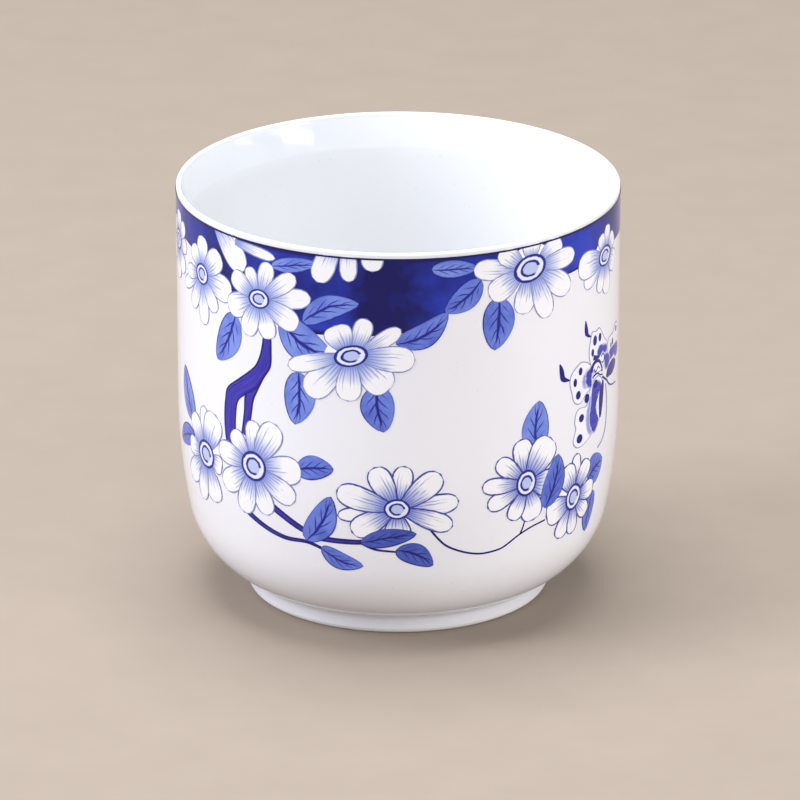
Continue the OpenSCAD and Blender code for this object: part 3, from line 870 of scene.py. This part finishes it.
# ---------------------------------------------------------------- vine
# A hair-thin stem in the dark ink that loops from the middle blossom to the right-hand one. The
# same pen draws one short leaf stalk, which goes with the lower leaves.
vine_line = [(7.4, 22.4), (10.4, 20), (13, 18.5), (17.1, 17.3), (21.2, 16.6), (24.5, 16.5),
             (28.2, 16.8), (30.6, 17.5), (33.5, 18.5), (37.6, 19.4), (42.1, 19.9)]
side_stem = [(34, 18.7), (34.8, 20), (35.2, 21.4)]
leaf_stem = [(-31, 31.9), (-28.5, 32.2), (-26.6, 31.4)]
for k in (0, 1):
    vine = gather(
        f"vine_{k}",
        [stroke(turned_by(vine_line, k), 0.34, 0.26, 80, 0.04),
         stroke(turned_by(side_stem, k), 0.3, 0.2, 12, 0.042)],
        bark,
    )
    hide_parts("vine")
    stalk = gather(
        f"lower_leaf_stem_{k}", [stroke(turned_by(leaf_stem, k), 0.3, 0.25, 12, 0.046)],
        bark,
    )
    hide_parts("lower_leaves")

# ---------------------------------------------------------------- butterfly
# A butterfly seen from the side: white wings with a thin drawn edge and round dark spots, a
# streaked blue wash at the wing roots, a dark slim body and two feelers.
wing_print, tree, shader = finish("outlined_white_wing_print")
place = add(tree, "TexCoord").outputs["Object"]
edge = add(tree, "Attribute", {"attribute_name": "edge_mm"}).outputs["Fac"]
outline = add(tree, "MapRange", Value=edge, From_Min=0.12, From_Max=0.24, To_Min=0.85,
              To_Max=0.0).outputs[0]
drawn = add(tree, "Mix", {"data_type": "RGBA"}, _0=outline, _6=paint("ebecf4"),
            _7=paint("6d76ae")).outputs[2]
tree.links.new(drawn, shader.inputs["Base Color"])
fire(shader)

# Wing wash: streaky violet blue that breaks up into white towards its own edge.
def wash_finish(name, deep, pale):
    made, tree, shader = finish(name)
    place = add(tree, "TexCoord").outputs["Object"]
    edge = add(tree, "Attribute", {"attribute_name": "edge_mm"}).outputs["Fac"]
    long_way = add(tree, "Mapping", Vector=place, Scale=(1.0, 1.0, 4.0)).outputs[0]
    streak = add(tree, "TexNoise", Vector=long_way, Scale=500.0, Detail=3.0).outputs[0]
    torn = add(tree, "Math", {"operation": "MULTIPLY_ADD"}, _0=streak, _1=-0.7, _2=edge).outputs[0]
    solid = add(tree, "MapRange", Value=torn, From_Min=-0.3, From_Max=0.1).outputs[0]
    tone = add(tree, "Mix", {"data_type": "RGBA"}, _0=streak, _6=paint(deep),
               _7=paint(pale)).outputs[2]
    tone = add(tree, "Mix", {"data_type": "RGBA"}, _0=solid, _6=paint("c9cde8"), _7=tone).outputs[2]
    tree.links.new(tone, shader.inputs["Base Color"])
    fire(shader)
    return made


wash_print = wash_finish("streaked_wing_wash_print", "1b1990", "4c4fc6")
pale_print = wash_finish("faded_wing_wash_print", "6f7ad0", "a9b1e2")

# Dark ink: the heaviest blue of the transfer, almost navy, with a soft mottled edge.
ink_print, tree, shader = finish("navy_ink_print")
place = add(tree, "TexCoord").outputs["Object"]
wash = add(tree, "TexNoise", Vector=place, Scale=600.0, Detail=3.0).outputs[0]
tone = add(tree, "Mix", {"data_type": "RGBA"}, _0=wash, _6=paint("0a0868"),
           _7=paint("1c1892")).outputs[2]
tree.links.new(tone, shader.inputs["Base Color"])
fire(shader)


def filled(outline, middle, lift, k, across=48, along=10):
    """A shape filled out from its middle to a smooth closed outline."""
    around = smooth_line(outline, closed=True)

    def shape(u, v):
        a, z = around(u)
        return (middle[0] + (a - middle[0]) * v + k * repeat, middle[1] + (z - middle[1]) * v)

    def margin(u, v):
        a, z = around(u)
        return (1 - v) * math.hypot(math.radians(a - middle[0]) * mouth_r, z - middle[1])

    return press(across, along, shape, margin, lift)


wing_outlines = [
    ([(58.4, 43.4), (57.4, 43.8), (54.8, 44.3), (52.3, 43.8), (50.3, 42.9), (49.7, 41.5),
      (50.5, 39.8), (51.2, 38.4), (52.5, 37.6), (54.5, 37.4), (56.3, 38.2), (57.6, 38.6),
      (60.4, 39.4), (60.8, 42)],
     (56, 40.8), 0.045),
    ([(59.9, 48.3), (62, 48.1), (64, 48.3), (66, 47), (67.6, 45.8), (69.4, 44.8), (69, 42.6),
      (66, 41), (62, 41), (59.4, 42.6), (58.4, 44.2), (58.3, 45.6), (58.9, 47)],
     (63.6, 44.6), 0.048),
    ([(52.5, 36.2), (51.8, 34.6), (52.3, 33.4), (51.2, 31.5), (52.4, 30.4), (54.2, 30.1),
      (57, 30.4), (60.5, 31.3), (63, 32), (65, 33.4), (65.6, 36), (66.2, 39), (63.6, 40.4),
      (60.5, 39.8), (58.8, 38.6), (57.4, 36.6), (54.2, 36.7)], (59, 34.6), 0.051),
    ([(70, 44.6), (72, 45.3), (75, 45.4), (77.5, 46.4), (80.5, 45.5), (81, 42), (78, 40.8),
      (73.5, 40.8), (69.4, 40.8)], (75, 43), 0.045),
]
wash_outlines = [
    ([(57, 42.3), (58.6, 42.6), (60.2, 43), (60.2, 41.6), (60, 40.3), (59.8, 39), (58.2, 39.2),
      (56.9, 39.8), (56.5, 41)], (58.6, 41)),
    ([(62.4, 44.2), (63.8, 45.3), (66, 45.2), (68.5, 44.8), (69.8, 43.8), (68.3, 43.2), (66, 43.7),
      (64, 43.4)], (66.2, 44.3)),
    ([(66.9, 43), (69.5, 43.2), (71.9, 42), (71.2, 40.8), (69.1, 40.2), (67.6, 41)], (69.3, 41.8)),
    ([(60.2, 39.6), (62.5, 39.9), (65.4, 39), (65, 37.9), (63.2, 37.2), (62.7, 35.4), (63.1, 33.8),
      (64, 33), (63.2, 32), (61.8, 31.1), (60.2, 31.5), (58.7, 33.2), (58.6, 35), (59.4, 37)],
      (61, 35.4)),
    ([(71.3, 43.1), (75, 43.2), (79.8, 42.9), (81.2, 41.4), (78.5, 40.5), (75.5, 41.2),
      (72.5, 41.2), (70.4, 41.5)], (75.4, 42.1)),
]
pale_washes = [
    ([(59.4, 38), (60.6, 38.4), (60.8, 35), (60.6, 31.6), (58.4, 31.4), (57, 33.4), (57.2, 35.6)],
     (59.4, 34.8)),
    ([(56.4, 42.2), (57.6, 42.6), (57.4, 40), (56.6, 39.4), (55.2, 40), (55.2, 41.4)], (56.6, 41)),
]
wing_spots = [
    (54.3, 42.8, 1.0, 1.3), (52, 41.3, 0.9, 1.4), (53.4, 39, 1.25, 1.4), (57.5, 37.7, 1.4, 1.5),
    (61.4, 46.6, 1.25, 1.7), (64.3, 46.6, 1.05, 1.4), (60.2, 44.8, 0.8, 1.3),
    (54.9, 34.9, 1.4, 1.3),
    (54.1, 31.6, 1.6, 1.5), (62, 39.3, 1.35, 1.3), (74.1, 43.9, 0.8, 1.1), (72.6, 43.6, 0.6, 0.8),
    (77.9, 45.3, 0.7, 1.0),
]
dark_outlines = [
    ([(64.3, 33.3), (65.4, 33.4), (66.6, 36), (67, 38.6), (66.1, 38.9), (64.4, 37.4), (64, 35.4)],
     (65.4, 36.2), 0.075),
    ([(69.2, 38.9), (70, 40.1), (71.8, 40.8), (74.8, 40.9), (77.6, 40.1), (76.4, 39.1),
      (73.5, 38.6), (71.4, 38.7)], (73.2, 39.8), 0.075),
    ([(49.9, 42.1), (47.4, 42.2), (46.1, 43), (45.8, 45.4), (47.3, 44.3), (47.9, 43)], (47, 43.2),
     0.05),
    ([(59.5, 47.6), (57.5, 47.9), (56.2, 48.8), (56.5, 50.8), (57.6, 49.4), (58, 48.4)],
     (57.1, 48.7), 0.05),
]
wing_curls = [
    ([(59.6, 41.6), (60.6, 42.7), (62.4, 43), (64.2, 42.6), (65.4, 41.6), (66, 40.6)], 0.8, 0.3),
    ([(60.2, 40.6), (61.6, 40.8), (63.2, 40.8), (64.6, 40.3), (66.4, 40)], 0.3, 0.18),
    ([(61, 41.9), (62, 41.3), (63.4, 41.9), (64.3, 41.4)], 0.2, 0.16),
    ([(65.2, 43.2), (66.4, 43.5), (67.3, 42.8), (66.5, 42), (65.6, 42.3)], 0.26, 0.2),
    ([(60.6, 43.9), (62.2, 43.6), (64.2, 43.5)], 0.9, 0.5),
    ([(66.2, 39.6), (67.6, 39.1), (69.4, 38.4), (71.2, 37.4), (74, 36.7), (78, 36.3)], 0.4, 0.16),
]
tail_line = [(68.6, 38), (69.4, 35.5), (69.4, 33), (68.6, 30.6), (66.6, 29), (63.8, 28.2)]
for k in (0, 1):
    wings = [filled(outline, middle, lift, k) for outline, middle, lift in wing_outlines]
    wings.append(stroke(turned_by(tail_line, k), 0.36, 0.3, 24, 0.044))
    piece = gather(f"butterfly_wings_{k}", wings, wing_print)
    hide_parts("butterflies")
    washes = [filled(outline, middle, 0.055, k, 40, 6) for outline, middle in pale_washes]
    piece = gather(f"butterfly_pale_wash_{k}", washes, pale_print)
    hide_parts("butterflies")
    washes = [filled(outline, middle, 0.06, k, 40, 6) for outline, middle in wash_outlines]
    piece = gather(f"butterfly_wash_{k}", washes, wash_print)
    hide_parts("butterflies")
    marks = [filled(outline, middle, lift, k, 32, 4) for outline, middle, lift in dark_outlines]
    marks += [oval((a + k * repeat, z), w, h, 0, 0.07) for a, z, w, h in wing_spots]
    marks += [stroke(turned_by(line, k), a, b, 24, 0.066) for line, a, b in wing_curls]
    piece = gather(f"butterfly_marks_{k}", marks, ink_print)
    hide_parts("butterflies")

# ---------------------------------------------------------------- table, light and camera
# A plain pale table top in a bright room. Soft windows stand left and right, with two low strips
# that show in the eased lip, a card that lifts the foot, and light from the front and above.
clean_slate()
bpy.ops.mesh.primitive_grid_add(x_subdivisions=8, y_subdivisions=8, size=4)
table = bpy.context.object
table.name = "table"
paper, tree, shader = finish("plain_pale_table")
place = add(tree, "TexCoord").outputs["Object"]
weave = add(tree, "TexNoise", Vector=place, Scale=90.0, Detail=3.0).outputs[0]
tone = add(tree, "Mix", {"data_type": "RGBA"}, _0=weave, _6=paint("96897c"),
           _7=paint("9d9083")).outputs[2]
tree.links.new(tone, shader.inputs["Base Color"])
shader.inputs["Roughness"].default_value = 0.7
table.data.materials.append(paper)


def soft_light(name, where, target, wide, tall, watts, colour):
    lamp = bpy.data.lights.new(name, "AREA")
    lamp.shape = "RECTANGLE"
    lamp.size, lamp.size_y = wide, tall
    lamp.energy = watts
    lamp.color = paint(colour)[:3]
    holder = bpy.data.objects.new(name, lamp)
    bpy.context.collection.objects.link(holder)
    holder.location = where
    way = [t - w for t, w in zip(target, where)]
    flat = math.hypot(way[0], way[1])
    holder.rotation_euler = (math.atan2(flat, -way[2]), 0, math.atan2(way[0], -way[1]) + math.pi)


# name, place and target in metres, width, height, watts and colour
for row in (
    ("window_left", (-0.95, -0.2, 0.6), (0, 0, 0.04), 0.55, 0.7, 10, "f6f8ff"),
    ("window_right", (0.98, -0.66, 0.56), (0, 0, 0.06), 0.38, 0.5, 2.6, "fffcf8"),
    ("window_right_low", (0.98, -0.66, 0.183), (0, 0, 0.06), 0.37, 0.05, 0.6, "fffcf8"),
    ("window_right_far", (1.107, -0.436, 0.2), (0, 0, 0.06), 0.2, 0.024, 0.12, "fffcf8"),
    ("table_card", (0.5, -0.12, 0.045), (0, 0, 0.03), 0.4, 0.085, 0.75, "fffaf6"),
    ("front", (0.1, -1.3, 1.0), (0, 0, 0.04), 0.7, 0.5, 4.0, "ffffff"),
    ("top", (-0.05, 0.1, 1.1), (0, 0, 0.03), 0.7, 0.7, 12, "ffffff"),
):
    soft_light(*row)

world = bpy.data.worlds.new("bright_room")
world.use_nodes = True
world.node_tree.nodes["Background"].inputs["Color"].default_value = paint("e9ecf2")
world.node_tree.nodes["Background"].inputs["Strength"].default_value = 0.66
bpy.context.scene.world = world

lens = bpy.data.cameras.new("camera")
lens.sensor_width = 36
lens.lens = 339.65
lens.shift_x = 0.0023
lens.shift_y = -0.0237
lens.clip_end = 20
camera = bpy.data.objects.new("camera", lens)
bpy.context.collection.objects.link(camera)
rise = math.radians(20.28)
aim_z = height / 2 * MM
reach = 1.2
camera.location = (0, -reach * math.cos(rise), aim_z + reach * math.sin(rise))
camera.rotation_mode = "XYZ"
camera.rotation_euler = (math.pi / 2 - rise, 0, 0)
bpy.context.scene.camera = camera
bpy.context.scene.view_settings.view_transform = "Standard"
